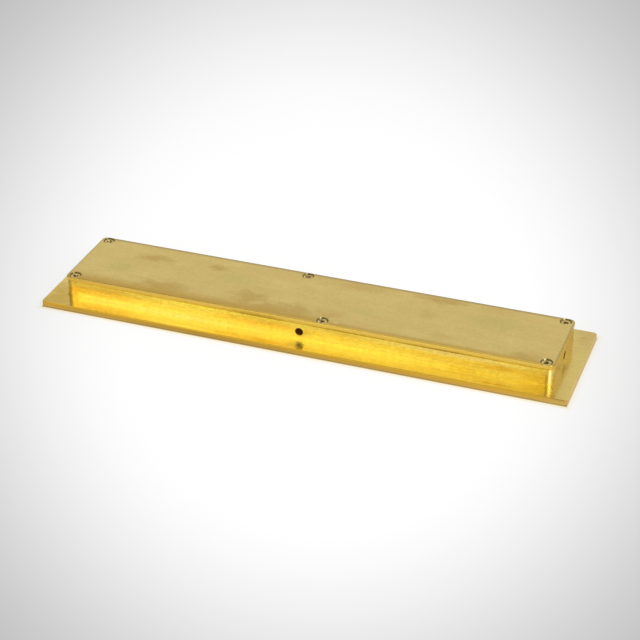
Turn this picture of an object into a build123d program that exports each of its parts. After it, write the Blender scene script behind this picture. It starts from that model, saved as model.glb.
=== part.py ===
from build123d import *
from math import radians, tan
import os

# A flush pull for a sliding door, lying on its face, in millimetres.
# X runs along the pull, Y across it, and Z up from the visible face at Z = 0 to the rear.
# The flange stays on the door's face. The walls and the back plate go into the door.

# Box of walls that fits the pocket in the door
box_length = 233.0
box_width = 42.0
wall_height = 8.0
wall_thickness = 6.0
wall_corner_radius = 3.5
wall_top_break = 0.25

# Flange, cast in one with the walls, and how far it stands out around them
flange_end_reach = 8.5
flange_side_reach = 9.0
flange_thickness = 3.0
flange_corner_radius = 1.5
face_rim_radius = 0.6
rear_rim_break = 0.25

# Finger recess between the walls
recess_corner_radius = 3.0
mouth_radius = 1.2

# Back plate, which closes the recess
plate_thickness = 2.0
plate_corner_radius = 2.5
plate_rim_radius = 0.35
plate_seam_break = 0.2

# Countersunk machine screws that hold the back plate
screw_diameter = 2.5
screw_length = 6.0
screw_head_diameter = 4.4
screw_head_rim = 0.1
screw_tip_break = 0.4
screw_end_inset = 4.0
screw_side_inset = 3.0
middle_screw_stagger = 10.0

# Cross recess in each screw head
cross_width = 2.7
cross_wing = 0.7
cross_depth = 1.1
cross_floor_width = 1.0
cross_floor_wing = 0.45
cross_angles = [8.0, 52.0, -20.0, 35.0, 70.0, 24.0]

# Holes for those screws, sunk deeper than the heads need
plate_hole_clearance = 0.15
plate_sink_diameter = 5.6
seat_clearance = 0.02
thread_clearance = 0.02
tapped_hole_spare_depth = 1.0

# Fixing holes in the middle of each wall, driven from inside the recess
fixing_hole_diameter = 3.8
fixing_sink_diameter = 6.5
fixing_hole_rise_share = 0.47

# Angles that tools leave: the countersinks and the drill's point
countersink_angle = 90.0
drill_point_angle = 118.0

# How far from its level a flat face may lie and still be found
level_tolerance = 0.001

# Levels and outlines that follow from the sizes above
flange_length = box_length + 2 * flange_end_reach
flange_width = box_width + 2 * flange_side_reach
wall_top = flange_thickness + wall_height
total_height = wall_top + plate_thickness
recess_length = box_length - 2 * wall_thickness
recess_width = box_width - 2 * wall_thickness


def rounded_block(length, width, height, corner_radius, bottom):
    """A block with rounded upright corners, standing on the level called bottom."""
    outline = Plane.XY.offset(bottom) * RectangleRounded(length, width, corner_radius)
    return extrude(outline, amount=height)


def level_face(solid, level):
    """The largest flat face of a solid at one level."""
    flat = solid.faces().filter_by(Plane.XY)
    near = flat.filter_by_position(Axis.Z, level - level_tolerance, level + level_tolerance)
    return near.sort_by(SortBy.AREA)[-1]


def rim(solid, level):
    """The outer edges of a solid's flat face at one level."""
    return level_face(solid, level).outer_wire().edges()


def mouth(solid, level):
    """The edges of the opening in a solid's flat face at one level."""
    return level_face(solid, level).inner_wires().edges()


def cone_height(wide, narrow, angle):
    """How high a cone with this full angle is between two of its diameters."""
    return (wide - narrow) / 2 / tan(radians(angle / 2))


def sink_depth(wide, narrow):
    """How deep a countersink is between two of its diameters."""
    return cone_height(wide, narrow, countersink_angle)


def cone_between(bottom_diameter, top_diameter, bottom, height):
    """An upright cone on the Z axis, starting at the level called bottom."""
    cone = Cone(bottom_diameter / 2, top_diameter / 2, height, align=(Align.CENTER, Align.CENTER, Align.MIN))
    return Pos(0, 0, bottom) * cone


def rod_between(diameter, bottom, top):
    """An upright rod on the Z axis, from one level to another."""
    rod = Cylinder(diameter / 2, top - bottom, align=(Align.CENTER, Align.CENTER, Align.MIN))
    return Pos(0, 0, bottom) * rod


def plate_screw_places():
    """Where the six plate screws stand: the corners, and two near the middle, staggered."""
    end = box_length / 2 - screw_end_inset
    side = box_width / 2 - screw_side_inset
    corners = [(-end, -side), (end, -side), (end, side), (-end, side)]
    middles = [(middle_screw_stagger, -side), (-middle_screw_stagger, side)]
    return corners + middles


def head_top_level():
    """The level of the screw heads, below the back plate's rear."""
    sunk = sink_depth(plate_sink_diameter, screw_head_diameter)
    return total_height - sunk + screw_head_rim + seat_clearance


def screw_tip_level():
    """The level that the tips of the plate screws reach."""
    return head_top_level() - screw_length


def fixing_hole():
    """The shape of one fixing hole in a wall: it runs along +X from the recess, countersunk there."""
    sink = sink_depth(fixing_sink_diameter, fixing_hole_diameter)
    shank = rod_between(fixing_hole_diameter, -wall_thickness, 2 * wall_thickness)
    seat = cone_between(fixing_sink_diameter, fixing_hole_diameter, 0, sink)
    way_in = rod_between(fixing_sink_diameter, -wall_thickness, 0)
    return Rot(0, 90, 0) * (shank + seat + way_in)


def fixing_holes():
    """The four fixing holes, each in the middle of its wall and about halfway up."""
    level = flange_thickness + fixing_hole_rise_share * wall_height
    ends = [Pos(recess_length / 2, 0, level), Pos(-recess_length / 2, 0, level) * Rot(0, 0, 180)]
    sides = [Pos(0, recess_width / 2, level) * Rot(0, 0, 90), Pos(0, -recess_width / 2, level) * Rot(0, 0, -90)]
    return [place * fixing_hole() for place in ends + sides]


def tapped_hole():
    """A blind hole in a wall for one plate screw, with the cone of the drill's point at its floor."""
    diameter = screw_diameter + 2 * thread_clearance
    floor = screw_tip_level() - tapped_hole_spare_depth
    point = cone_height(diameter, 0, drill_point_angle)
    bore = rod_between(diameter, floor, total_height)
    return bore + cone_between(0, diameter, floor - point, point)


def pull_body():
    """The flange and the ring of walls, with the finger recess right through."""
    flange = rounded_block(flange_length, flange_width, flange_thickness, flange_corner_radius, 0)
    flange = fillet(rim(flange, 0), face_rim_radius)
    flange = chamfer(rim(flange, flange_thickness), rear_rim_break)
    walls = rounded_block(box_length, box_width, wall_height, wall_corner_radius, flange_thickness)
    walls = chamfer(rim(walls, wall_top), wall_top_break)
    recess = rounded_block(recess_length, recess_width, wall_top, recess_corner_radius, 0)
    body = flange + walls - recess
    body = fillet(mouth(body, 0), mouth_radius)
    for hole in fixing_holes():
        body -= hole
    for x, y in plate_screw_places():
        body -= Pos(x, y, 0) * tapped_hole()
    return body


def plate_hole():
    """A clearance hole through the back plate, countersunk from the rear."""
    diameter = screw_diameter + 2 * plate_hole_clearance
    sink = sink_depth(plate_sink_diameter, diameter)
    bore = rod_between(diameter, wall_top, total_height)
    return bore + cone_between(diameter, plate_sink_diameter, total_height - sink, sink)


def back_plate():
    """The plate screwed on the walls, with the walls' outline and slightly sharper corners."""
    plate = rounded_block(box_length, box_width, plate_thickness, plate_corner_radius, wall_top)
    plate = fillet(rim(plate, total_height), plate_rim_radius)
    plate = chamfer(rim(plate, wall_top), plate_seam_break)
    for x, y in plate_screw_places():
        plate -= Pos(x, y, 0) * plate_hole()
    return plate


def cross_wing_cut(top):
    """One wing of the cross recess: a slot that narrows towards its floor."""
    mouth_slot = Plane.XY.offset(top) * Rectangle(cross_width, cross_wing)
    floor_slot = Plane.XY.offset(top - cross_depth) * Rectangle(cross_floor_width, cross_floor_wing)
    return loft([floor_slot.face(), mouth_slot.face()], ruled=True)


def plate_screw(cross_angle):
    """A countersunk machine screw standing on the Z axis, its head up."""
    top = head_top_level()
    tip = screw_tip_level()
    cone_depth = sink_depth(screw_head_diameter, screw_diameter)
    cone_bottom = top - screw_head_rim - cone_depth
    shank = rod_between(screw_diameter, tip, cone_bottom)
    shank = chamfer(shank.edges().sort_by(Axis.Z)[0], screw_tip_break)
    head = cone_between(screw_diameter, screw_head_diameter, cone_bottom, cone_depth)
    head_rim = rod_between(screw_head_diameter, top - screw_head_rim, top)
    screw = shank + head + head_rim
    for turn in (0, 90):
        screw -= Rot(0, 0, cross_angle + turn) * cross_wing_cut(top)
    return screw


def back_plate_screws():
    """The six plate screws, each in its hole and turned its own way."""
    places = zip(plate_screw_places(), cross_angles)
    return Compound(children=[Pos(x, y, 0) * plate_screw(angle) for (x, y), angle in places])


os.makedirs("parts", exist_ok=True)
export_step(pull_body(), "parts/pull_body.step")
export_step(back_plate(), "parts/back_plate.step")
export_step(back_plate_screws(), "parts/back_plate_screws.step")
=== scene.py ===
import math

import bmesh
import bpy
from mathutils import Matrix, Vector


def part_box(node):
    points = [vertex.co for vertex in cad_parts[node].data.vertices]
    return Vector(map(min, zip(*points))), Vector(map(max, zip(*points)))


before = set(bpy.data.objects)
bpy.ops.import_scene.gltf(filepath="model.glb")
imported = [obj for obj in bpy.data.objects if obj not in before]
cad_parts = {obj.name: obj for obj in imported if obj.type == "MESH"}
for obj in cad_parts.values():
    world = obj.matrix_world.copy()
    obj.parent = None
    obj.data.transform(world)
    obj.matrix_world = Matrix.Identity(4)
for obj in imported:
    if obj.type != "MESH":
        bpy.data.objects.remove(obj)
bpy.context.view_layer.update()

# A flush pull for a sliding door, lying on its visible face with its rear up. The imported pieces
# keep their shapes and get their finishes here. A floor, a studio and a camera come with them.
# Lengths are in metres and angles in degrees, but for the lens, the sensor and what a name or a
# docstring gives in millimetres.
MM = 0.001

# Camera: it looks down on the rear of the pull, from the right of its near side
CAMERA_AZIMUTH = 19.96
CAMERA_ELEVATION = 30.64
CAMERA_DISTANCE = 818.5 * MM
CAMERA_AIM = Vector((1.4 * MM, 2.6 * MM, 0.0))
CAMERA_LENS = 99.86
SENSOR_WIDTH = 36.0
CLIP_START = 10 * MM

# Floor, with a painted round pool of light, shaped as a spot at the near side would throw it. The
# pool is full up to one angle off the spot's axis and fades to the dim level at another, both
# given as sines. The floor glows at one level in the full pool, and its paper throws back a share
# of the light.
FLOOR_HALF_WIDTH = 3.0
SPOT_AZIMUTH = 20.0
SPOT_ELEVATION = 30.6
SPOT_DISTANCE = 820 * MM
SPOT_AIM = Vector((1 * MM, 4.5 * MM, 0.0))
POOL_FULL_SINE = 0.1
POOL_DIM_SINE = 0.29
POOL_DIM_LEVEL = 0.48
FLOOR_GLOW = 0.825
FLOOR_PAPER_SHARE = 0.25

# Studio: its walls end at one height and its ceiling starts at another. Each patch on the walls
# has an azimuth, the angles where it starts to fade and has faded, and a change of level, and
# its last value is the azimuth that its sharp edge faces, if it has one.
WALL_END = 38
CEILING_START = 54
WALL_LEVEL = 0.81
CEILING_LEVEL = 0.2
PATCH_ELEVATION = 30
PATCHES = [(-32, 4, 27, 1.03, 47), (-100, 12, 46, -0.25, None), (8, 3, 11, -0.12, None)]
PATCH_EDGE_SINE = 0.04

# Soft lamps: name, azimuth, elevation, distance, width, height and radiance
SOFTBOXES = [("right_softbox", 57, 44, 1.2, 0.6, 0.85, 1.7),
             ("small_softbox", 66, 52, 1.2, 0.3, 0.3, 7.0)]

# Sizes of the pull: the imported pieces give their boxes, and the source the rest
body_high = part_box("pull_body")[1]
plate_low, plate_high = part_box("back_plate")
screws_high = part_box("back_plate_screws")[1]
FLANGE_THICKNESS = 3.0 * MM
SEAM_GROOVE = 0.25 * MM
SCREW_END_INSET = 4.0 * MM
SCREW_SIDE_INSET = 3.0 * MM
MIDDLE_SCREW_STAGGER = 10.0 * MM
SINK_RADIUS = 2.8 * MM
RECESS_INSET = 15.0 * MM

# Way that a countersink faces where the small softbox's reflection falls, painted paler there
PALE_HIGHLIGHT_NORMAL = (0.449, -0.546, 0.707)

# Lean of the brush marks towards X, which is all that gives them a direction on level faces
BRUSH_LEAN = (0.05, 0, 0)

# Spacing of the dark specks on the back plate
SPECK_SPACING_MM = 14

# Levels between which nearly all of a noise lies
NOISE_LOW = 0.3
NOISE_HIGH = 0.7

# Smudges: how far noise breaks up their outline, and where they start to fade and have faded
SMUDGE_RAGGEDNESS = 2.6
SMUDGE_FADES = 1.4
SMUDGE_FADED = 2.9


def linear(hex_colour):
    """Turns a colour written as sRGB hex into the linear values that a shader takes."""
    parts = [int(hex_colour[i:i + 2], 16) / 255 for i in (1, 3, 5)]
    return [p / 12.92 if p <= 0.04045 else ((p + 0.055) / 1.055) ** 2.4 for p in parts] + [1.0]


def direction(azimuth, elevation):
    """A unit vector out from the pull, with the azimuth counted from -Y towards +X."""
    turn = math.radians(azimuth)
    rise = math.radians(elevation)
    level = math.cos(rise)
    return Vector((math.sin(turn) * level, -math.cos(turn) * level, math.sin(rise)))


def add_node(tree, kind, inputs=None, **settings):
    """Adds a node with its settings, and feeds its inputs. They take plain values, colours as
    sRGB hex, sockets, and other nodes, of which the first output in use is taken."""
    node = tree.nodes.new(kind)
    for name, value in settings.items():
        setattr(node, name, value)
    for name, value in (inputs or {}).items():
        if isinstance(value, bpy.types.Node):
            value = next(output for output in value.outputs if output.enabled)
        if isinstance(value, bpy.types.NodeSocket):
            tree.links.new(value, node.inputs[name])
        else:
            node.inputs[name].default_value = linear(value) if isinstance(value, str) else value
    return node


def new_material(name):
    """A material and its empty node tree."""
    material = bpy.data.materials.new(name)
    material.use_nodes = True
    material.node_tree.nodes.clear()
    return material, material.node_tree


def split_place(tree):
    """The place on the pull in metres, as X, Y and Z."""
    place = add_node(tree, "ShaderNodeTexCoord")
    xyz = add_node(tree, "ShaderNodeSeparateXYZ", {"Vector": place.outputs["Object"]})
    return xyz.outputs["X"], xyz.outputs["Y"], xyz.outputs["Z"]


def stretched_noise(tree, length_mm, width_mm, height_mm, detail, roughness):
    """Noise whose features are about this many millimetres along X, Y and Z."""
    place = add_node(tree, "ShaderNodeTexCoord")
    scale = [1 / (size * MM) for size in (length_mm, width_mm, height_mm)]
    fitted = add_node(tree, "ShaderNodeMapping", {"Vector": place.outputs["Object"],
                      "Scale": scale})
    return add_node(tree, "ShaderNodeTexNoise", {"Vector": fitted, "Scale": 1.0, "Detail": detail,
                    "Roughness": roughness})


def smudge(tree, ragged, centre_mm, reach_mm, strength=1.0):
    """How strongly a soft smudge shows. A reach of 0 lets it run on in that direction, and the
    noise called ragged breaks up its outline."""
    place = add_node(tree, "ShaderNodeTexCoord")
    scale = [1 / (reach * MM) if reach else 0 for reach in reach_mm]
    shift = [-centre / reach if reach else 0 for centre, reach in zip(centre_mm, reach_mm)]
    centred = add_node(tree, "ShaderNodeMapping", {"Vector": place.outputs["Object"],
                       "Location": shift, "Scale": scale})
    away = add_node(tree, "ShaderNodeVectorMath", {0: centred}, operation="LENGTH")
    uneven = add_node(tree, "ShaderNodeMath", {0: ragged, 1: SMUDGE_RAGGEDNESS, 2: away},
                      operation="MULTIPLY_ADD")
    return add_node(tree, "ShaderNodeMapRange", {"Value": uneven, "From Min": SMUDGE_FADES,
                    "From Max": SMUDGE_FADED, "To Min": strength, "To Max": 0.0},
                    interpolation_type="SMOOTHSTEP")


def strongest(tree, masks):
    """The highest of several masks."""
    top = masks[0]
    for mask in masks[1:]:
        top = add_node(tree, "ShaderNodeMath", {0: top, 1: mask}, operation="MAXIMUM")
    return top


def smudges(tree, ragged, marks, others=()):
    """The strongest of several smudges and other masks. Each mark is a smudge's centre and reach
    in millimetres, and its strength where that isn't 1."""
    return strongest(tree, [*others, *[smudge(tree, ragged, *mark) for mark in marks]])


def tinted(tree, ground, tints):
    """A colour with tints laid over it, one after another, each as strongly as its mask says."""
    colour = ground
    for mask, tint in tints:
        colour = add_node(tree, "ShaderNodeMix", {"Factor": mask, "A": colour, "B": tint},
                          data_type="RGBA")
    return colour


def screw_distance(tree):
    """How far a place is from the axis of the nearest plate screw, in metres. The four corners
    are folded into one, and so are the two screws near the middle."""
    corner_screw = (plate_high[0] - SCREW_END_INSET, plate_high[1] - SCREW_SIDE_INSET, 0)
    middle_screw = (-MIDDLE_SCREW_STAGGER, plate_high[1] - SCREW_SIDE_INSET, 0)
    x, y, _ = split_place(tree)
    beside = add_node(tree, "ShaderNodeMath", {0: x}, operation="ABSOLUTE")
    across = add_node(tree, "ShaderNodeMath", {0: y}, operation="ABSOLUTE")
    far_side = add_node(tree, "ShaderNodeMath", {0: y}, operation="SIGN")
    turned = add_node(tree, "ShaderNodeMath", {0: x, 1: far_side}, operation="MULTIPLY")
    by_corner = add_node(tree, "ShaderNodeCombineXYZ", {"X": beside, "Y": across})
    by_middle = add_node(tree, "ShaderNodeCombineXYZ", {"X": turned, "Y": across})
    corner = add_node(tree, "ShaderNodeVectorMath", {0: by_corner, 1: corner_screw},
                      operation="DISTANCE")
    middle = add_node(tree, "ShaderNodeVectorMath", {0: by_middle, 1: middle_screw},
                      operation="DISTANCE")
    return add_node(tree, "ShaderNodeMath", {0: corner, 1: middle}, operation="MINIMUM")


def brushing_direction(tree):
    """The direction of the brush marks: level along every wall, and along X on level faces."""
    geometry = add_node(tree, "ShaderNodeNewGeometry")
    along = add_node(tree, "ShaderNodeVectorMath", {0: (0, 0, 1), 1: geometry.outputs["Normal"]},
                     operation="CROSS_PRODUCT")
    return add_node(tree, "ShaderNodeVectorMath", {0: along, 1: BRUSH_LEAN}, operation="ADD")


def wall_colour(tree, place, facing, ragged, middle_right, painted_band_sheen, streak):
    """The body's walls: a warm yellow, with what hands, polish and dirt have left on it, and with
    painted sheen at the foot and a painted highlight on the right corners. The masks middle_right,
    painted_band_sheen and streak run on over the flange."""
    x, _, z = place
    facing_x, facing_y, _ = facing

    # Pale at the foot, where the paler colour is painted sheen of the bright band reflected there,
    # lightest right of the middle, and deeper in colour above on the long walls. The end walls are
    # duller.
    long_side = add_node(tree, "ShaderNodeMath", {0: facing_y}, operation="ABSOLUTE")
    on_long_side = add_node(tree, "ShaderNodeMapRange", {"Value": long_side, "From Min": 0.85,
                            "From Max": 0.97})
    uneven_height = add_node(tree, "ShaderNodeMath", {0: ragged, 1: 4 * MM, 2: z},
                             operation="MULTIPLY_ADD")
    above = add_node(tree, "ShaderNodeMapRange", {"Value": uneven_height, "From Min": 6.6 * MM,
                     "From Max": 9.6 * MM, "To Max": on_long_side},
                     interpolation_type="SMOOTHSTEP")
    end_side = add_node(tree, "ShaderNodeMath", {0: facing_x}, operation="ABSOLUTE")
    on_end_side = add_node(tree, "ShaderNodeMapRange", {"Value": end_side, "From Min": 0.8,
                           "From Max": 0.97})
    tints = [(middle_right, "#F3E17B"), (above, "#F1D457"), (on_end_side, "#E3C667")]

    # Pale patches on the near side: two low on its left half, which are painted sheen on the
    # bright band at the foot, a rubbed one high beside the middle, and a pinker one high on its
    # right half
    high_pale = smudge(tree, ragged, (72, -21, 9.6), (30, 3, 1.1), 0.5)
    rubbed_high = smudge(tree, ragged, (-40, -21, 9.8), (30, 3, 1.0), 0.8)
    low_painted_sheen = smudge(tree, ragged, (-97, -21, 4.3), (13, 3, 0.6), 0.6)
    tints += [(painted_band_sheen, "#F3E08F"), (high_pale, "#EECC80"), (rubbed_high, "#FFE54C"),
              (low_painted_sheen, "#F5EB86")]

    # Orange stains on the long walls, spread over the whole of their right end, and one upright
    # streak by the left corner
    to_right_end = add_node(tree, "ShaderNodeMapRange", {"Value": x, "From Min": 95 * MM,
                            "From Max": 113 * MM, "To Max": 0.7},
                            interpolation_type="SMOOTHSTEP")
    stains = smudges(tree, ragged, [((-96, 0, 8.6), (16, 0, 2.0), 1.0),
                                    ((-18, 0, 8.4), (16, 0, 2.2), 0.7),
                                    ((20, 0, 9.6), (14, 0, 1.0), 0.6),
                                    ((93, 0, 7.4), (10, 0, 1.2), 0.7),
                                    ((76, 0, 3.6), (9, 0, 0.5), 0.7),
                                    ((-99, 0, 6.8), (18, 0, 1.6), 0.7),
                                    ((60, 0, 6.6), (14, 0, 1.0), 0.3),
                                    ((25, 0, 4.6), (60, 0, 1.1), 0.2),
                                    ((-111.2, 0, 0), (1.0, 0, 0), 0.6)], [to_right_end])
    stain_shown = add_node(tree, "ShaderNodeMath", {0: stains, 1: on_long_side},
                           operation="MULTIPLY")

    # Streaks, brown ones high up and light ones lower down at the left
    high = smudges(tree, ragged, [((-92, 0, 9.2), (22, 0, 1.1), 0.9),
                                  ((-40, 0, 9.7), (26, 0, 0.7), 0.4),
                                  ((-84, 0, 7.8), (24, 0, 1.0), 0.5),
                                  ((82, 0, 6.4), (22, 0, 1.3), 0.35),
                                  ((96, 0, 7.6), (8, 0, 0.7), 0.5)])
    low = smudges(tree, ragged, [((-80, -21, 7.0), (24, 4, 0.5), 0.5),
                                 ((-45, -21, 5.0), (32, 4, 0.4), 0.35)])
    brown_streaks = add_node(tree, "ShaderNodeMath", {0: streak, 1: high}, operation="MULTIPLY")
    light_streaks = add_node(tree, "ShaderNodeMath", {0: streak, 1: low}, operation="MULTIPLY")
    tints += [(stain_shown, "#E2B843"), (brown_streaks, "#D9AA3E"), (light_streaks, "#F6E48C")]

    # Rounded corners: the right ones get a pale painted highlight, laid where the softbox's
    # reflection falls on them. The left ones are brown, and so is the end wall between them.
    turning_in = add_node(tree, "ShaderNodeMapRange", {"Value": facing_x, "From Min": 0.3,
                          "From Max": 0.46}, interpolation_type="SMOOTHSTEP")
    turning_out = add_node(tree, "ShaderNodeMapRange", {"Value": facing_x, "From Min": 0.62,
                           "From Max": 0.8, "To Min": 1.0, "To Max": 0.0},
                           interpolation_type="SMOOTHSTEP")
    retinted = add_node(tree, "ShaderNodeMath", {0: turning_in, 1: turning_out},
                    operation="MULTIPLY")
    brown_height = add_node(tree, "ShaderNodeMapRange", {"Value": z, "From Min": 8.4 * MM,
                            "From Max": 9.4 * MM})
    browns = add_node(tree, "ShaderNodeMix", {"Factor": brown_height, "A": "#E6C249",
                      "B": "#C8A242"}, data_type="RGBA")
    brown = add_node(tree, "ShaderNodeMapRange", {"Value": facing_x, "From Min": -0.28,
                     "From Max": -0.45}, interpolation_type="SMOOTHSTEP")
    # Pale painted highlight on the right corners, and brown on the left ones
    tints += [(retinted, "#FAECB8"), (brown, browns)]

    # Groove of the seam under the back plate: deeper in colour, with dried polish in places
    off_seam = add_node(tree, "ShaderNodeMath", {0: z, 1: body_high[2]}, operation="SUBTRACT")
    seam = add_node(tree, "ShaderNodeMapRange", {"Value": off_seam,
                    "From Min": -SEAM_GROOVE - 0.4 * MM, "From Max": -SEAM_GROOVE})
    at_left = smudge(tree, ragged, (-104, 0, 0), (20, 0, 0))
    groove_colour = add_node(tree, "ShaderNodeMix", {"Factor": at_left, "A": "#EBC63A",
                             "B": "#EABE3E"}, data_type="RGBA")
    grime = smudges(tree, ragged, [((-20, 0, 0), (14, 0, 0), 0.9),
                                   ((64, 0, 0), (18, 0, 0), 1.0),
                                   ((24, 0, 0), (16, 0, 0), 0.5)])
    seam_shown = add_node(tree, "ShaderNodeMath", {0: seam, 1: grime}, operation="MULTIPLY")
    tints += [(seam, groove_colour), (seam_shown, "#C4A032")]
    return tinted(tree, "#F0DB76", tints)


def flange_colour(tree, beside, across, ragged, middle_right, painted_band_sheen, streak):
    """The rear of the flange: lightest beside the long walls, with less colour towards its rim, a
    little warmer at the ends, and dull in a few places."""
    to_rim = add_node(tree, "ShaderNodeMapRange", {"Value": across,
                      "From Min": plate_high[1] + 2 * MM, "From Max": body_high[1] - 1 * MM})
    past_wall = add_node(tree, "ShaderNodeMapRange", {"Value": beside,
                         "From Min": plate_high[0] - 2 * MM, "From Max": plate_high[0] + 1 * MM})
    far_right = smudge(tree, ragged, (122, 24, 0), (7, 12, 0))
    spots = smudge(tree, ragged, (-14, -27.8, 0), (46, 1.6, 0), 0.8)
    spots_shown = add_node(tree, "ShaderNodeMath", {0: spots, 1: streak}, operation="MULTIPLY")
    dull = smudges(tree, ragged, [((-119, -24, 0), (9, 15, 0), 1.0),
                                  ((-15, -28.7, 0), (5, 0.5, 0), 1.0),
                                  ((72, -24.5, 0), (14, 0.9, 0), 0.6),
                                  ((89, -27.6, 0), (6, 0.5, 0), 1.0),
                                  ((117, -28.4, 0), (5, 0.5, 0), 0.9),
                                  ((120.1, 23.1, 0), (1.2, 0.8, 0), 1.0),
                                  ((-112.5, -28.8, 0), (3.5, 0.8, 0), 1.0)], [spots_shown])
    by_rim = smudge(tree, ragged, (-55, -28.6, 0), (15, 1.5, 0), 0.8)
    return tinted(tree, "#F3DC76", [(middle_right, "#F6E27A"), (to_rim, "#E7D592"),
                                    (past_wall, "#F2D87D"), (far_right, "#E6CA7B"),
                                    (dull, "#DDB956"), (painted_band_sheen, "#F3E08F"), (by_rim, "#F0E6B6")])


def cut_side_colour(tree, x, z, by_corner):
    """The outer sides of the flange: browner towards their foot and darkest right at it, as
    painted contact shade, and paler at the right corner, with large blotches, darker left of the
    middle and lighter at both ends."""
    towards_foot = add_node(tree, "ShaderNodeMapRange", {"Value": z, "From Min": 2.3 * MM,
                            "From Max": 0.8 * MM})
    # The darkest tint, right at the foot, is painted contact shade
    painted_contact_shade = add_node(tree, "ShaderNodeMapRange", {"Value": z, "From Min": 0.8 * MM,
                       "From Max": 0.4 * MM})
    corner_shown = add_node(tree, "ShaderNodeMath", {0: by_corner, 1: 0.6}, operation="MULTIPLY")
    sides = tinted(tree, "#CA9F2F", [(towards_foot, "#C9A459"), (painted_contact_shade, "#967B3D"),
                                     (corner_shown, "#CCAE6A")])
    blotch = stretched_noise(tree, 26, 26, 3, 4.0, 0.55)
    darker = smudge(tree, blotch, (-38, 0, 0), (36, 0, 0), -0.14)
    lighter = smudges(tree, blotch, [((100, 0, 0), (50, 0, 0), 0.14),
                                     ((-121, 0, 0), (12, 0, 0), 0.14)])
    changed = add_node(tree, "ShaderNodeMath", {0: darker, 1: lighter}, operation="ADD")
    side_level = add_node(tree, "ShaderNodeMath", {0: changed, 1: 1.0}, operation="ADD")
    return add_node(tree, "ShaderNodeVectorMath", {0: sides, "Scale": side_level},
                    operation="SCALE")


def brushed_level(tree, on_flange):
    """How much brush lines and the fine mottle of handled brass lighten or darken the body. Both
    are much fainter on the flange. The lines are drawn twice as wide as the real ones so that
    they show."""
    on_wall = add_node(tree, "ShaderNodeMath", {0: on_flange, 1: -0.7, 2: 1.0},
                       operation="MULTIPLY_ADD")
    lines = stretched_noise(tree, 45, 0.6, 0.6, 3.0, 0.6)
    line_level = add_node(tree, "ShaderNodeMapRange", {"Value": lines, "From Min": NOISE_LOW,
                          "From Max": NOISE_HIGH, "To Min": 0.92, "To Max": 1.08})
    line_shown = add_node(tree, "ShaderNodeMath", {0: line_level, 1: on_wall}, operation="POWER")
    mottle = stretched_noise(tree, 1.7, 1.2, 0.9, 4.0, 0.65)
    mottle_level = add_node(tree, "ShaderNodeMapRange", {"Value": mottle, "From Min": NOISE_LOW,
                            "From Max": NOISE_HIGH, "To Min": 0.85, "To Max": 1.12})
    mottle_shown = add_node(tree, "ShaderNodeMath", {0: mottle_level, 1: on_wall},
                            operation="POWER")
    return add_node(tree, "ShaderNodeMath", {0: line_shown, 1: mottle_shown},
                    operation="MULTIPLY")


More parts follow.
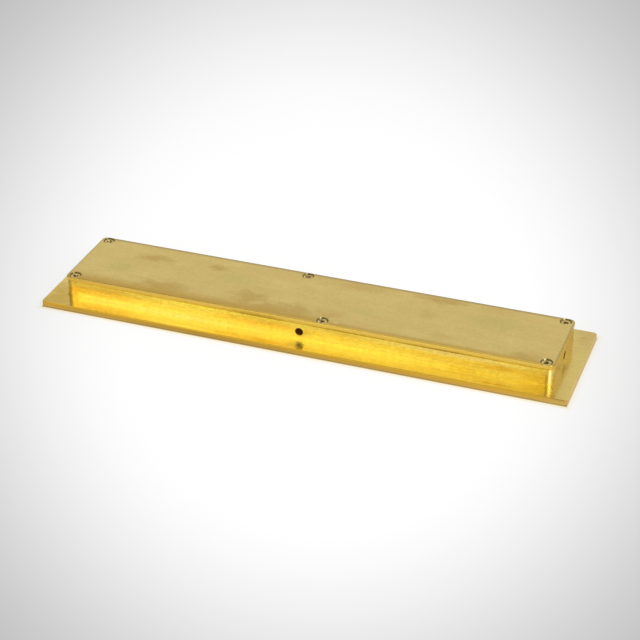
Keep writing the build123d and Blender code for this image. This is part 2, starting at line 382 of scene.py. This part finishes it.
def body_brass():
    """Cast brass, machined and polished lengthwise. It gives warm mirror-like walls with fine
    lengthwise lines and a fine mottle, paler at their foot as painted sheen of the bright band
    reflected there, and stained orange above, with a pale painted highlight on the rounded
    corners at the right. The outer sides of the flange are only cut, so they are duller and
    browner."""
    material, tree = new_material("brass_polished_lengthwise")
    place = x, y, z = split_place(tree)
    geometry = add_node(tree, "ShaderNodeNewGeometry")
    facing = add_node(tree, "ShaderNodeSeparateXYZ", {"Vector": geometry.outputs["Normal"]})
    beside = add_node(tree, "ShaderNodeMath", {0: x}, operation="ABSOLUTE")
    across = add_node(tree, "ShaderNodeMath", {0: y}, operation="ABSOLUTE")
    ragged = stretched_noise(tree, 6, 5, 1.6, 5.0, 0.65)

    # What the walls and the flange share: lightest right of the middle, one patch of painted sheen
    # low on the left half of the near side, on the bright band at the foot, and short lengthwise
    # streaks
    off_middle = add_node(tree, "ShaderNodeMath", {0: x, 1: 32 * MM}, operation="SUBTRACT")
    off_middle_right = add_node(tree, "ShaderNodeMath", {0: off_middle}, operation="ABSOLUTE")
    middle_right = add_node(tree, "ShaderNodeMapRange", {"Value": off_middle_right,
                            "From Min": 16 * MM, "From Max": 58 * MM, "To Min": 1.0,
                            "To Max": 0.0}, interpolation_type="SMOOTHSTEP")
    painted_band_sheen = smudge(tree, ragged, (-62, -21, 3), (36, 4, 1.0), 0.9)
    streak_noise = stretched_noise(tree, 7, 1.1, 0.7, 4.0, 0.65)
    streak = add_node(tree, "ShaderNodeMapRange", {"Value": streak_noise, "From Min": 0.42,
                      "From Max": 0.6})
    walls = wall_colour(tree, place, facing.outputs, ragged, middle_right, painted_band_sheen, streak)
    flange = flange_colour(tree, beside, across, ragged, middle_right, painted_band_sheen, streak)
    on_flange = add_node(tree, "ShaderNodeMapRange", {"Value": z,
                         "From Min": FLANGE_THICKNESS + 0.05 * MM,
                         "From Max": FLANGE_THICKNESS + 0.3 * MM, "To Min": 1.0, "To Max": 0.0})

    # Outer sides of the flange
    past_end = add_node(tree, "ShaderNodeMath", {0: beside, 1: body_high[0] - 0.7 * MM},
                        operation="GREATER_THAN")
    past_side = add_node(tree, "ShaderNodeMath", {0: across, 1: body_high[1] - 0.7 * MM},
                         operation="GREATER_THAN")
    outermost = strongest(tree, [past_end, past_side])
    level_face = add_node(tree, "ShaderNodeMath", {0: facing.outputs["Z"]}, operation="ABSOLUTE")
    standing = add_node(tree, "ShaderNodeMapRange", {"Value": level_face, "From Min": 0.3,
                        "From Max": 0.65, "To Min": 1.0, "To Max": 0.0})
    cut = add_node(tree, "ShaderNodeMath", {0: outermost, 1: standing}, operation="MULTIPLY")
    by_corner = add_node(tree, "ShaderNodeMapRange", {"Value": x, "From Min": 112 * MM,
                         "From Max": 120 * MM})
    sides = cut_side_colour(tree, x, z, by_corner)

    # Broken edge over the near and far sides, cut bright but browner at the right corner
    above_side = add_node(tree, "ShaderNodeMapRange", {"Value": z,
                          "From Min": FLANGE_THICKNESS - 0.7 * MM,
                          "From Max": FLANGE_THICKNESS - 0.4 * MM})
    leaning = add_node(tree, "ShaderNodeMapRange", {"Value": level_face, "From Min": 0.97,
                       "From Max": 0.85})
    rim = add_node(tree, "ShaderNodeMath", {0: above_side, 1: leaning}, operation="MULTIPLY")
    rim_shown = add_node(tree, "ShaderNodeMath", {0: rim, 1: past_side}, operation="MULTIPLY")
    edge_colour = add_node(tree, "ShaderNodeMix", {"Factor": by_corner, "A": "#E4B63D",
                           "B": "#CCA14E"}, data_type="RGBA")
    colour = tinted(tree, walls, [(on_flange, flange), (cut, sides), (rim_shown, edge_colour)])
    brushed = add_node(tree, "ShaderNodeVectorMath", {0: colour,
                       "Scale": brushed_level(tree, on_flange)}, operation="SCALE")

    # Roughness: uneven with a polishing grain about 0.2 mm wide, and higher on the cut sides, on
    # the broken edges, and inside the holes and the recess. On the flange it rises towards the
    # right end and in front of two holes.
    grain = stretched_noise(tree, 14, 0.22, 0.22, 3.0, 0.6)
    fine = add_node(tree, "ShaderNodeMapRange", {"Value": grain, "From Min": NOISE_LOW,
                    "From Max": NOISE_HIGH, "To Min": 0.17, "To Max": 0.25})
    within_ends = add_node(tree, "ShaderNodeMath", {0: beside, 1: plate_high[0] - 0.1 * MM},
                           operation="LESS_THAN")
    within_sides = add_node(tree, "ShaderNodeMath", {0: across, 1: plate_high[1] - 0.1 * MM},
                            operation="LESS_THAN")
    inside = add_node(tree, "ShaderNodeMath", {0: within_ends, 1: within_sides},
                      operation="MULTIPLY")
    broken = add_node(tree, "ShaderNodeMath", {0: outermost, 1: leaning}, operation="MULTIPLY")
    right_end = add_node(tree, "ShaderNodeMapRange", {"Value": x,
                         "From Min": plate_high[0] - 7 * MM, "From Max": plate_high[0] + 1 * MM,
                         "To Max": 0.25}, interpolation_type="SMOOTHSTEP")
    duller = smudges(tree, ragged, [((0, -25.5, 0), (4, 3.5, 0), 0.6),
                                    ((118, -5.5, 0), (1.5, 4, 0), 0.8)], [right_end])
    dulled_flange = add_node(tree, "ShaderNodeMath", {0: duller, 1: on_flange},
                             operation="MULTIPLY")
    rougher = strongest(tree, [cut, inside, broken, dulled_flange])
    rough = add_node(tree, "ShaderNodeMath", {0: rougher, 1: 0.2, 2: fine},
                     operation="MULTIPLY_ADD")
    bump = add_node(tree, "ShaderNodeBump", {"Height": grain, "Strength": 0.1,
                    "Distance": 0.02 * MM})
    shader = add_node(tree, "ShaderNodeBsdfPrincipled", {"Base Color": brushed, "Metallic": 1.0,
                      "Roughness": rough, "Normal": bump, "Anisotropic": 0.7,
                      "Anisotropic Rotation": 0.25, "Tangent": brushing_direction(tree)})
    add_node(tree, "ShaderNodeOutputMaterial", {"Surface": shader})
    return material


def plate_face_colour(tree, x, y, ragged, rim_highlight):
    """The rear face of the plate: tan, cloudy and smudged, browner along the near edge, specked,
    tarnished in a thin line along the other edges, and with a painted highlight along the near
    one."""
    # Clouds and smudges
    cloud = stretched_noise(tree, 24, 12, 12, 6.0, 0.65)
    cloud_shown = add_node(tree, "ShaderNodeMapRange", {"Value": cloud, "From Min": 0.36,
                           "From Max": 0.66})
    hue = stretched_noise(tree, 9, 6, 6, 3.0, 0.6)
    hue_shown = add_node(tree, "ShaderNodeMapRange", {"Value": hue, "From Min": 0.4,
                         "From Max": 0.62, "To Max": 0.5})
    green = smudges(tree, ragged, [((-97, -4, 0), (7, 4, 0)), ((24, -5, 0), (8, 3, 0)),
                                   ((-40, 4, 0), (14, 5, 0)), ((84, 6, 0), (12, 5, 0))])
    green_shown = add_node(tree, "ShaderNodeMath", {0: green, 1: 0.6}, operation="MULTIPLY")
    brown = smudges(tree, ragged, [((-70, -14, 0), (12, 5, 0), 1.0),
                                   ((-84, 9.5, 0), (9, 3, 0), 1.0),
                                   ((-52.5, 11, 0), (4.5, 2.5, 0), 1.0),
                                   ((-28, -9.5, 0), (7, 6, 0), 1.0),
                                   ((-8, -15, 0), (18, 6, 0), 1.0),
                                   ((18, 17, 0), (16, 3, 0), 0.5),
                                   ((55, 17, 0), (10, 2.5, 0), 1.0),
                                   ((52, 2, 0), (4, 3.5, 0), 0.35),
                                   ((63, -12.5, 0), (5, 2.5, 0), 0.35),
                                   ((11, -11, 0), (6, 3.5, 0), 0.5),
                                   ((82, 17, 0), (9, 3, 0), 0.35),
                                   ((102, -17, 0), (7, 2.5, 0), 1.0)])
    brown_shown = add_node(tree, "ShaderNodeMath", {0: brown, 1: 0.8}, operation="MULTIPLY")
    tints = [(cloud_shown, "#EACE7A"), (hue_shown, "#EDCC7C"), (green_shown, "#DECC75"),
             (brown_shown, "#D6B35C")]

    # Browner band along the near edge, wider towards the left
    band_width = add_node(tree, "ShaderNodeMapRange", {"Value": x, "From Min": -20 * MM,
                          "From Max": 30 * MM, "To Min": plate_low[1] + 8.5 * MM,
                          "To Max": plate_low[1] + 4.2 * MM})
    near = add_node(tree, "ShaderNodeMapRange", {"Value": y, "From Min": band_width,
                    "From Max": plate_low[1] + 0.5 * MM, "To Max": 0.95},
                    interpolation_type="SMOOTHSTEP")

    # Dark specks just under a millimetre wide, a few over the face and many near the left end
    place = add_node(tree, "ShaderNodeTexCoord")
    spaced = add_node(tree, "ShaderNodeMapping", {"Vector": place.outputs["Object"],
                      "Scale": [1 / (SPECK_SPACING_MM * MM)] * 3})
    speck = add_node(tree, "ShaderNodeTexVoronoi", {"Vector": spaced, "Scale": 1.0})
    speck_shown = add_node(tree, "ShaderNodeMapRange", {"Value": speck, "From Min": 0.02,
                           "From Max": 0.05, "To Min": 0.4, "To Max": 0.0})
    more = add_node(tree, "ShaderNodeTexVoronoi", {"Vector": spaced, "Scale": 3.6})
    more_shown = add_node(tree, "ShaderNodeMapRange", {"Value": more, "From Min": 0.06,
                          "From Max": 0.14, "To Min": 0.45, "To Max": 0.0})
    at_left = smudge(tree, ragged, (-102, -12, 0), (11, 9, 0))
    left_specks = add_node(tree, "ShaderNodeMath", {0: more_shown, 1: at_left},
                           operation="MULTIPLY")
    all_specks = strongest(tree, [speck_shown, left_specks])

    # Tarnish in a thin line along the far edge and both ends
    beside = add_node(tree, "ShaderNodeMath", {0: x}, operation="ABSOLUTE")
    by_end = add_node(tree, "ShaderNodeMapRange", {"Value": beside,
                      "From Min": plate_high[0] - 0.9 * MM, "From Max": plate_high[0] - 0.2 * MM})
    by_far_edge = add_node(tree, "ShaderNodeMapRange", {"Value": y,
                           "From Min": plate_high[1] - 2.4 * MM,
                           "From Max": plate_high[1] - 0.5 * MM})
    outline = strongest(tree, [by_end, by_far_edge])
    outline_shown = add_node(tree, "ShaderNodeMath", {0: outline, 1: 0.8}, operation="MULTIPLY")
    tints += [(near, "#D6AE4B"), (all_specks, "#8F7438"), (outline_shown, "#AD9561")]

    # Near edge, brighter as a painted highlight, with one nick beside the middle screw
    by_near_edge = add_node(tree, "ShaderNodeMapRange", {"Value": y,
                            "From Min": plate_low[1] + 1.3 * MM,
                            "From Max": plate_low[1] + 0.5 * MM})
    rim_highlight_shown = add_node(tree, "ShaderNodeMath", {0: by_near_edge, 1: rim_highlight},
                            operation="MULTIPLY")
    nick = smudge(tree, ragged, (16.2, -17.8, 0), (1.3, 0.7, 0))
    tints += [(rim_highlight_shown, "#FFD761"), (nick, "#FFD88C")]
    return tinted(tree, "#F3D985", tints)


def plate_side_colour(tree, z, facing_x, ragged, rim_highlight):
    """The cut sides of the plate, brighter than its face: the rounding above gets the same painted
    highlight as the near edge, and the groove of the seam below is deeper in colour, with dried
    polish in places.
    At the ends they are dimmer towards the top."""
    grime = smudges(tree, ragged, [((-20, 0, 11.4), (13, 0, 0.9), 1.0),
                                   ((64, 0, 10.9), (18, 0, 0.5), 0.7),
                                   ((24, 0, 10.9), (16, 0, 0.5), 0.5)])
    rounding = add_node(tree, "ShaderNodeMapRange", {"Value": z,
                        "From Min": plate_high[2] - 0.6 * MM,
                        "From Max": plate_high[2] - 0.4 * MM})
    # Painted highlight on the rounding above, stronger towards the right
    rounding_colour = add_node(tree, "ShaderNodeMix", {"Factor": rim_highlight, "A": "#DCB753",
                               "B": "#F0C95B"}, data_type="RGBA")
    groove = add_node(tree, "ShaderNodeMapRange", {"Value": z,
                      "From Min": plate_low[2] + 0.4 * MM, "From Max": plate_low[2] + 0.15 * MM})
    on_end = add_node(tree, "ShaderNodeMath", {0: facing_x}, operation="ABSOLUTE")
    end_top = add_node(tree, "ShaderNodeMapRange", {"Value": z,
                       "From Min": plate_high[2] - 1.1 * MM,
                       "From Max": plate_high[2] - 0.6 * MM})
    dim_shown = add_node(tree, "ShaderNodeMath", {0: end_top, 1: on_end}, operation="MULTIPLY")
    return tinted(tree, "#E6C056", [(groove, "#E2B43C"), (rounding, rounding_colour),
                                    (grime, "#C6A039"), (dim_shown, "#CDA945")])


def plate_brass():
    """Rolled brass sheet, satin as it came from the rolls. It gives a soft, cloudy tan sheen with
    brown and greenish smudges, small dark specks, a browner band along the near edge, thin dark
    tarnish along the other edges, a painted highlight along the near edge, and brighter cut
    sides. The countersinks are darkened as painted shade, each with a paler painted patch where
    the small softbox's reflection falls."""
    material, tree = new_material("brass_rolled_satin")
    x, y, z = split_place(tree)
    geometry = add_node(tree, "ShaderNodeNewGeometry")
    facing = add_node(tree, "ShaderNodeSeparateXYZ", {"Vector": geometry.outputs["True Normal"]})
    ragged = stretched_noise(tree, 6, 4, 4, 5.0, 0.65)

    # Face and cut sides, whose edges get a painted highlight, stronger towards the right
    rim_highlight = add_node(tree, "ShaderNodeMapRange", {"Value": x, "From Min": -60 * MM,
                      "From Max": 0.0})
    face = plate_face_colour(tree, x, y, ragged, rim_highlight)
    sides = plate_side_colour(tree, z, facing.outputs["X"], ragged, rim_highlight)
    on_side = add_node(tree, "ShaderNodeMapRange", {"Value": facing.outputs["Z"],
                       "From Min": 0.95, "From Max": 0.5})

    # Countersinks, darkened as painted shade, each painted paler at its far left, where the small
    # softbox's reflection falls
    towards_pale_highlight = add_node(tree, "ShaderNodeVectorMath", {0: geometry.outputs["True Normal"],
                            1: PALE_HIGHLIGHT_NORMAL}, operation="DOT_PRODUCT")
    pale_highlight = add_node(tree, "ShaderNodeMapRange", {"Value": towards_pale_highlight, "From Min": 0.93,
                           "From Max": 0.98})
    painted_sink_colour = add_node(tree, "ShaderNodeMix", {"Factor": pale_highlight, "A": "#90762B",
                           "B": "#84825E"}, data_type="RGBA")
    in_sink = add_node(tree, "ShaderNodeMapRange", {"Value": screw_distance(tree),
                       "From Min": SINK_RADIUS + 0.1 * MM, "From Max": SINK_RADIUS - 0.15 * MM})
    colour = tinted(tree, face, [(on_side, sides), (in_sink, painted_sink_colour)])

    # Fine mottle, and a grain along X drawn coarser than the real one so that it shows
    fine = stretched_noise(tree, 1.6, 1.1, 1.1, 3.0, 0.6)
    fine_level = add_node(tree, "ShaderNodeMapRange", {"Value": fine, "From Min": NOISE_LOW,
                          "From Max": NOISE_HIGH, "To Min": 0.95, "To Max": 1.05})
    mottled = add_node(tree, "ShaderNodeVectorMath", {0: colour, "Scale": fine_level},
                       operation="SCALE")
    grain = stretched_noise(tree, 10, 0.3, 0.3, 3.0, 0.6)
    rough = add_node(tree, "ShaderNodeMapRange", {"Value": grain, "From Min": NOISE_LOW,
                     "From Max": NOISE_HIGH, "To Min": 0.28, "To Max": 0.37})
    bump = add_node(tree, "ShaderNodeBump", {"Height": grain, "Strength": 0.15,
                    "Distance": 0.02 * MM})
    shader = add_node(tree, "ShaderNodeBsdfPrincipled", {"Base Color": mottled, "Metallic": 1.0,
                      "Roughness": rough, "Normal": bump, "Anisotropic": 0.4,
                      "Anisotropic Rotation": 0.25, "Tangent": brushing_direction(tree)})
    add_node(tree, "ShaderNodeOutputMaterial", {"Surface": shader})
    return material


def screw_nickel():
    """Nickel-plated steel that has yellowed beside the brass. It gives warm heads, duller in
    patches where a driver has slipped, with painted shade in and round the cross recesses,
    towards the rims of the heads and below their tops."""
    material, tree = new_material("nickel_plated_steel")
    z = split_place(tree)[2]
    wear = stretched_noise(tree, 1.1, 1.1, 1.1, 3.0, 0.6)
    retinted = add_node(tree, "ShaderNodeMapRange", {"Value": wear, "From Min": 0.42,
                    "From Max": 0.6})
    from_screw = screw_distance(tree)
    # Painted shade: towards the rims of the heads, round and in the cross recesses, and below the
    # tops of the heads
    at_rim = add_node(tree, "ShaderNodeMapRange", {"Value": from_screw, "From Min": 1.8 * MM,
                      "From Max": 2.2 * MM, "To Max": 0.15})
    round_cross = add_node(tree, "ShaderNodeMapRange", {"Value": from_screw,
                           "From Min": 1.5 * MM, "From Max": 1.2 * MM, "To Max": 0.5})
    sunk = add_node(tree, "ShaderNodeMapRange", {"Value": z,
                    "From Min": screws_high[2] - 0.05 * MM,
                    "From Max": screws_high[2] - 0.3 * MM, "To Max": 0.7})
    painted_shade = strongest(tree, [at_rim, round_cross, sunk])
    colour = tinted(tree, "#EAD48C", [(retinted, "#AE914C"), (painted_shade, "#94783A")])
    rough = add_node(tree, "ShaderNodeMapRange", {"Value": wear, "To Min": 0.12, "To Max": 0.3})
    shader = add_node(tree, "ShaderNodeBsdfPrincipled", {"Base Color": colour, "Metallic": 1.0,
                      "Roughness": rough})
    add_node(tree, "ShaderNodeOutputMaterial", {"Surface": shader})
    return material


def dress(node_name, material):
    """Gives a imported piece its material, in every slot that it has."""
    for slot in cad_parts[node_name].material_slots:
        slot.material = material


def floor_paper():
    """Pale matt paper under a painted round pool of light, which fades softly. A little warm light
    from the brass is painted on it close by, darker and warmer where they touch as painted
    contact shade. Painted shade makes it dark right under the pull, apart from some painted light
    on the near half of the recess."""
    material, tree = new_material("floor_paper")
    place = add_node(tree, "ShaderNodeTexCoord")
    spot = direction(SPOT_AZIMUTH, SPOT_ELEVATION)
    beam = add_node(tree, "ShaderNodeVectorMath", {0: place.outputs["Object"],
                    1: SPOT_AIM + spot * SPOT_DISTANCE}, operation="SUBTRACT")
    ray = add_node(tree, "ShaderNodeVectorMath", {0: beam}, operation="NORMALIZE")
    off_axis = add_node(tree, "ShaderNodeVectorMath", {0: ray, 1: spot},
                        operation="CROSS_PRODUCT")
    sine = add_node(tree, "ShaderNodeVectorMath", {0: off_axis}, operation="LENGTH")
    pool = add_node(tree, "ShaderNodeMapRange", {"Value": sine, "From Min": POOL_FULL_SINE,
                    "From Max": POOL_DIM_SINE, "To Min": 1.0, "To Max": POOL_DIM_LEVEL},
                    interpolation_type="SMOOTHSTEP")

    # Painted warm light beside the brass, with painted contact shade where they touch, by how far
    # a place lies outside the flange's outline
    x, y, _ = split_place(tree)
    beside = add_node(tree, "ShaderNodeMath", {0: x}, operation="ABSOLUTE")
    across = add_node(tree, "ShaderNodeMath", {0: y}, operation="ABSOLUTE")
    out_x = add_node(tree, "ShaderNodeMath", {0: beside, 1: body_high[0]}, operation="SUBTRACT")
    out_y = add_node(tree, "ShaderNodeMath", {0: across, 1: body_high[1]}, operation="SUBTRACT")
    outside = add_node(tree, "ShaderNodeMath", {0: out_x, 1: out_y}, operation="MAXIMUM")
    warm = add_node(tree, "ShaderNodeMapRange", {"Value": outside, "From Min": 0.0,
                    "From Max": 3 * MM, "To Min": 1.0, "To Max": 0.0},
                    interpolation_type="SMOOTHSTEP")
    past_end = add_node(tree, "ShaderNodeMath", {0: out_x, 1: out_y}, operation="GREATER_THAN")
    less_at_ends = add_node(tree, "ShaderNodeMath", {0: past_end, 1: -0.5, 2: 1.0},
                            operation="MULTIPLY_ADD")
    warm_shown = add_node(tree, "ShaderNodeMath", {0: warm, 1: less_at_ends},
                          operation="MULTIPLY")
    # Warmer and darker where they touch, as painted contact shade
    touching = add_node(tree, "ShaderNodeMapRange", {"Value": outside, "From Min": 0.4 * MM,
                        "From Max": -0.1 * MM})
    tint = tinted(tree, "#FFFFFF", [(warm_shown, "#FDF0CB"), (touching, "#F4D68C")])

    # Painted shade under the pull, but for painted light in the recess
    uncovered = add_node(tree, "ShaderNodeMapRange", {"Value": outside, "From Min": -0.6 * MM,
                         "From Max": 0.25 * MM})
    in_recess = add_node(tree, "ShaderNodeMath", {0: outside, 1: -RECESS_INSET},
                         operation="LESS_THAN")
    near_half = add_node(tree, "ShaderNodeMapRange", {"Value": y, "From Min": 6 * MM,
                         "From Max": 2 * MM, "To Max": 0.16})
    leak = add_node(tree, "ShaderNodeMath", {0: in_recess, 1: near_half}, operation="MULTIPLY")
    reached = add_node(tree, "ShaderNodeMath", {0: uncovered, 1: leak}, operation="MAXIMUM")
    lit = add_node(tree, "ShaderNodeMath", {0: pool, 1: reached}, operation="MULTIPLY")

    # The pool glows only as the camera and the brass see it, so it lights nothing itself
    light_path = add_node(tree, "ShaderNodeLightPath")
    seen = add_node(tree, "ShaderNodeMath", {0: light_path.outputs["Is Camera Ray"],
                    1: light_path.outputs["Is Glossy Ray"]}, operation="MAXIMUM")
    share = add_node(tree, "ShaderNodeMath", {0: seen, 1: FLOOR_GLOW}, operation="MULTIPLY")
    strength = add_node(tree, "ShaderNodeMath", {0: lit, 1: share}, operation="MULTIPLY")
    glow = add_node(tree, "ShaderNodeEmission", {"Color": tint, "Strength": strength})
    paper_colour = add_node(tree, "ShaderNodeMath", {0: pool, 1: FLOOR_PAPER_SHARE},
                            operation="MULTIPLY")
    paper = add_node(tree, "ShaderNodeBsdfDiffuse", {"Color": paper_colour})
    both = add_node(tree, "ShaderNodeAddShader", {0: glow, 1: paper})
    add_node(tree, "ShaderNodeOutputMaterial", {"Surface": both})
    return material


def make_floor():
    """A plain floor at the level that the pull lies on."""
    mesh = bpy.data.meshes.new("floor")
    sheet = bmesh.new()
    bmesh.ops.create_grid(sheet, x_segments=1, y_segments=1, size=FLOOR_HALF_WIDTH)
    sheet.to_mesh(mesh)
    sheet.free()
    mesh.materials.append(floor_paper())
    floor = bpy.data.objects.new("floor", mesh)
    bpy.context.scene.collection.objects.link(floor)


def make_world():
    """Studio walls all round, lit evenly under a dim ceiling. They are brighter at the left of the
    near side, up to a sharp edge, dimmer at the left, and a little dimmer straight ahead."""
    world = bpy.data.worlds.new("studio")
    world.use_nodes = True
    tree = world.node_tree
    tree.nodes.clear()
    place = add_node(tree, "ShaderNodeTexCoord")
    way = place.outputs["Generated"]
    xyz = add_node(tree, "ShaderNodeSeparateXYZ", {"Vector": way})
    level = add_node(tree, "ShaderNodeMapRange", {"Value": xyz.outputs["Z"],
                     "From Min": math.sin(math.radians(WALL_END)),
                     "From Max": math.sin(math.radians(CEILING_START)),
                     "To Min": WALL_LEVEL, "To Max": CEILING_LEVEL},
                     interpolation_type="SMOOTHSTEP")
    for azimuth, fades, faded, change, edge_azimuth in PATCHES:
        towards = add_node(tree, "ShaderNodeVectorMath", {0: way,
                           1: direction(azimuth, PATCH_ELEVATION)}, operation="DOT_PRODUCT")
        patch = add_node(tree, "ShaderNodeMapRange", {"Value": towards,
                         "From Min": math.cos(math.radians(faded)),
                         "From Max": math.cos(math.radians(fades)), "To Min": 0.0,
                         "To Max": change}, interpolation_type="SMOOTHSTEP")
        if edge_azimuth is not None:
            past_edge = add_node(tree, "ShaderNodeVectorMath", {0: way,
                                 1: direction(edge_azimuth, 0)}, operation="DOT_PRODUCT")
            lit_side = add_node(tree, "ShaderNodeMapRange", {"Value": past_edge,
                                "From Min": -PATCH_EDGE_SINE, "From Max": PATCH_EDGE_SINE})
            patch = add_node(tree, "ShaderNodeMath", {0: patch, 1: lit_side},
                             operation="MULTIPLY")
        level = add_node(tree, "ShaderNodeMath", {0: level, 1: patch}, operation="ADD")
    sky = add_node(tree, "ShaderNodeBackground", {"Color": (1, 1, 1, 1), "Strength": level})
    add_node(tree, "ShaderNodeOutputWorld", {"Surface": sky})
    bpy.context.scene.world = world


def add_softbox(name, azimuth, elevation, distance, width, height, radiance):
    """A soft lamp that faces the pull from this direction."""
    lamp = bpy.data.lights.new(name, "AREA")
    lamp.shape = "RECTANGLE"
    lamp.size = width
    lamp.size_y = height
    lamp.energy = radiance * math.pi * width * height
    softbox = bpy.data.objects.new(name, lamp)
    bpy.context.scene.collection.objects.link(softbox)
    softbox.location = direction(azimuth, elevation) * distance
    softbox.rotation_euler = (-softbox.location).to_track_quat("-Z", "Y").to_euler()


def make_camera():
    """The camera at the photograph's viewing angle."""
    lens = bpy.data.cameras.new("camera")
    lens.lens = CAMERA_LENS
    lens.sensor_fit = "HORIZONTAL"
    lens.sensor_width = SENSOR_WIDTH
    lens.clip_start = CLIP_START
    camera = bpy.data.objects.new("camera", lens)
    bpy.context.scene.collection.objects.link(camera)
    out = direction(CAMERA_AZIMUTH, CAMERA_ELEVATION)
    camera.location = CAMERA_AIM + out * CAMERA_DISTANCE
    camera.rotation_euler = (-out).to_track_quat("-Z", "Y").to_euler()
    bpy.context.scene.camera = camera


make_camera()
make_world()
make_floor()
for softbox_values in SOFTBOXES:
    add_softbox(*softbox_values)
dress("pull_body", body_brass())
dress("back_plate", plate_brass())
dress("back_plate_screws", screw_nickel())
bpy.context.scene.view_settings.view_transform = "Standard"
